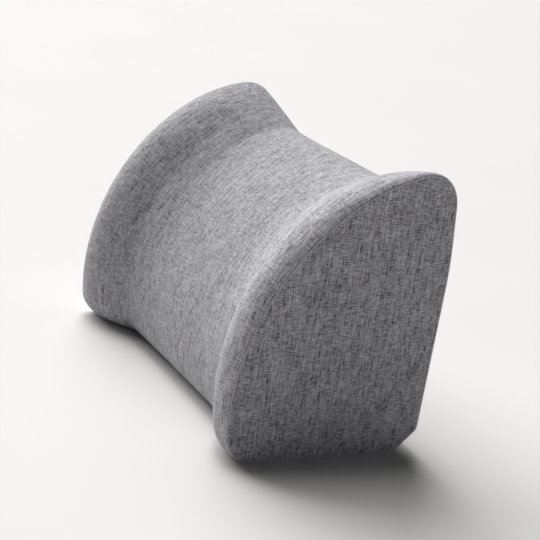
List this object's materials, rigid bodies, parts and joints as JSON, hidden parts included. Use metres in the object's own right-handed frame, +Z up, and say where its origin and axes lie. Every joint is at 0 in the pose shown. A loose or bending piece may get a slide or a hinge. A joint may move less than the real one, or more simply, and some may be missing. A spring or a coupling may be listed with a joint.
{
  "type": "saddle-shaped kneeling and leg-rest cushion",
  "caption": "Quarter-round foam cushion with a flat base and back, a concave saddle between raised end wings, and a removable woven zip cover.",
  "frame": {"origin": "on the floor, in the middle of the cushion's width and depth, on the underside of the base panel", "axes": "+X along the width from end panel to end panel, +Y out of the flat back, -Y out of the curved saddle front, +Z up from the base"},
  "size_m": [0.4, 0.2237, 0.2871],
  "materials": {
    "woven_cover": "heather grey plain weave with slub threads",
    "base_fabric": "dark knit with bonded grip dots",
    "foam": "moulded open-cell foam",
    "liner": "white non-woven",
    "thread": "grey polyester sewing thread",
    "zip_tape": "grey woven tape",
    "zip_coil": "nylon coil",
    "zip_metal": "satin zinc die casting",
    "label": "plain white satin ribbon, blank"
  },
  "bodies": {
    "cushion": {"foam_core": "foam", "inner_liner": "liner", "cover_front": "woven_cover", "cover_end_left": "woven_cover", "cover_end_right": "woven_cover", "cover_back_upper": "woven_cover", "cover_back_lower": "woven_cover", "cover_base": "base_fabric", "seam_thread_end_left": "thread", "seam_thread_end_right": "thread", "seam_thread_top": "thread", "seam_thread_front": "thread", "seam_thread_heel": "thread", "zip_topstitch_upper": "thread", "zip_topstitch_lower": "thread", "zip_tape_upper": "zip_tape", "zip_tape_lower": "zip_tape", "zip_coil_upper": "zip_coil", "zip_coil_lower": "zip_coil", "zip_top_stop_upper": "zip_metal", "zip_top_stop_lower": "zip_metal", "zip_bottom_stop": "zip_metal", "care_label": "label"},
    "slider": {"zip_slider": "zip_metal"},
    "pull": {"zip_pull": "zip_metal"}
  },
  "joints": [
    {"name": "zip_travel", "type": "slide", "parent": "cushion", "child": "slider", "axis": [-1, 0, 0], "range_m": [0, 0.28]},
    {"name": "pull_swing", "type": "hinge", "parent": "slider", "child": "pull", "pos_m": [0.141, 0.1122, 0.06], "axis": [0, 0, -1], "range_deg": [0, 170]}
  ]
}
